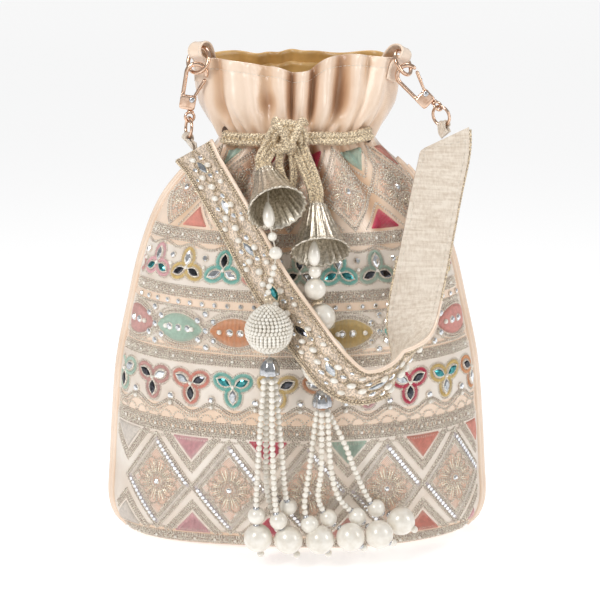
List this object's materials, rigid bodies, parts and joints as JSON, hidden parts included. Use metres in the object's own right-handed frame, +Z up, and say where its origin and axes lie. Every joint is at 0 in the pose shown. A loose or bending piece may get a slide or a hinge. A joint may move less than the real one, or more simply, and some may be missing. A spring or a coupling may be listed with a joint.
{
  "type": "potli bag",
  "caption": "Soft drawstring pouch with an embroidered front, a gathered frill neck, a folded embroidered strap on snap hooks, and beaded tassels hanging from bell caps.",
  "frame": {"origin": "middle of the underside of the flat oval base", "axes": "+Z up towards the frilled rim, -Y towards the embroidered front, +X to the right of a viewer who faces the front"},
  "size_m": [0.2094, 0.1388, 0.271],
  "materials": {
    "embroidered_front": "satin",
    "satin": "satin",
    "base_board": "matte",
    "lining": "satin",
    "strap_embroidery": "satin",
    "raw_silk": "matte",
    "braided_cord": "satin",
    "thread": "satin",
    "polished_steel": "polished",
    "rose_gold": "gloss",
    "antique_bell": "satin",
    "silver_cap": "gloss",
    "beaded_ball": "gloss",
    "gilt_bead": "gloss",
    "pearl": "gloss"
  },
  "bodies": {
    "bag": {"front_panel": "embroidered_front", "back_panel": "satin", "base_panel": "base_board", "lining": "lining", "piping_left": "satin", "piping_right": "satin", "swivel_eye_left": "rose_gold", "swivel_eye_right": "rose_gold", "tab_left": "satin", "tab_right": "satin", "strap_face": "strap_embroidery", "strap_backing": "raw_silk", "strap_tab_left": "raw_silk", "strap_tab_right": "raw_silk", "drawstring": "braided_cord"},
    "hook_left": {"hook_body_left": "rose_gold", "hook_rivet_left": "polished_steel", "gate_spring_left": "polished_steel"},
    "hook_right": {"hook_body_right": "rose_gold", "hook_rivet_right": "polished_steel", "gate_spring_right": "polished_steel"},
    "gate_left": {"hook_gate_left": "rose_gold"},
    "gate_right": {"hook_gate_right": "rose_gold"},
    "tab_ring_left": {"tab_ring_left": "rose_gold"},
    "tab_ring_right": {"tab_ring_right": "rose_gold"},
    "strap_ring_left": {"strap_ring_left": "rose_gold"},
    "strap_ring_right": {"strap_ring_right": "rose_gold"},
    "tassel_left": {"bell_left": "antique_bell", "tassel_thread_left": "thread", "drop_left": "pearl", "pearl_small_left": "pearl", "pearl_left": "pearl", "bead_left": "gilt_bead", "beaded_ball_left": "beaded_ball", "tassel_cap_left": "silver_cap", "strand_left_1": "pearl", "strand_left_2": "pearl", "strand_left_3": "pearl", "strand_left_4": "pearl"},
    "tassel_right": {"bell_right": "antique_bell", "tassel_thread_right": "thread", "drop_right": "pearl", "pearl_small_right": "pearl", "pearl_right": "pearl", "disc_right": "gilt_bead", "pearl_large_right": "pearl", "beaded_ball_right": "beaded_ball", "tassel_cap_right": "silver_cap", "strand_right_1": "pearl", "strand_right_2": "pearl", "strand_right_3": "pearl", "strand_right_4": "pearl"}
  },
  "joints": [
    {"name": "hook_swivel_left", "type": "hinge", "parent": "bag", "child": "hook_left", "pos_m": [-0.0548, -0.0146, 0.2358], "axis": [0.17, -0.02, 0.9852], "range_deg": [0, 10]},
    {"name": "hook_gate_left", "type": "hinge", "parent": "hook_left", "child": "gate_left", "pos_m": [-0.05385, -0.01471, 0.24132], "axis": [0, -0.9998, -0.0203], "range_deg": [0, 17], "stiffness_Nm_per_rad": 0.02, "springref_deg": -17.19},
    {"name": "tab_ring_swing_left", "type": "hinge", "parent": "bag", "child": "tab_ring_left", "pos_m": [-0.0496, -0.0103, 0.2676], "axis": [0.8006, -0.591, 0.0984], "range_deg": [-6, 0]},
    {"name": "strap_ring_swing_left", "type": "hinge", "parent": "bag", "child": "strap_ring_left", "pos_m": [-0.05652, -0.01452, 0.22146], "axis": [0.3425, -0.9389, -0.0342], "range_deg": [-3, 3]},
    {"name": "hook_swivel_right", "type": "hinge", "parent": "bag", "child": "hook_right", "pos_m": [0.0701, -0.0145, 0.2404], "axis": [-0.7121, 0, 0.7021], "range_deg": [-10, 8]},
    {"name": "hook_gate_right", "type": "hinge", "parent": "hook_right", "child": "gate_right", "pos_m": [0.06611, -0.0145, 0.24433], "axis": [0, -1, 0], "range_deg": [0, 17], "stiffness_Nm_per_rad": 0.02, "springref_deg": -17.19},
    {"name": "tab_ring_swing_right", "type": "hinge", "parent": "bag", "child": "tab_ring_right", "pos_m": [0.05288, -0.00824, 0.26531], "axis": [0.5893, 0.7687, -0.2486], "range_deg": [-3, 2]},
    {"name": "strap_ring_swing_right", "type": "hinge", "parent": "bag", "child": "strap_ring_right", "pos_m": [0.07612, -0.0145, 0.22764], "axis": [0.7096, -0.668, 0.2241], "range_deg": [-3, 3]},
    {"name": "tassel_swing_left", "type": "hinge", "parent": "bag", "child": "tassel_left", "pos_m": [-0.0158, -0.0445, 0.2085], "axis": [-1, 0, 0], "range_deg": [0, 20]},
    {"name": "tassel_swing_right", "type": "hinge", "parent": "bag", "child": "tassel_right", "pos_m": [0.0098, -0.0465, 0.1915], "axis": [0, -1, 0], "range_deg": [0, 10]}
  ]
}
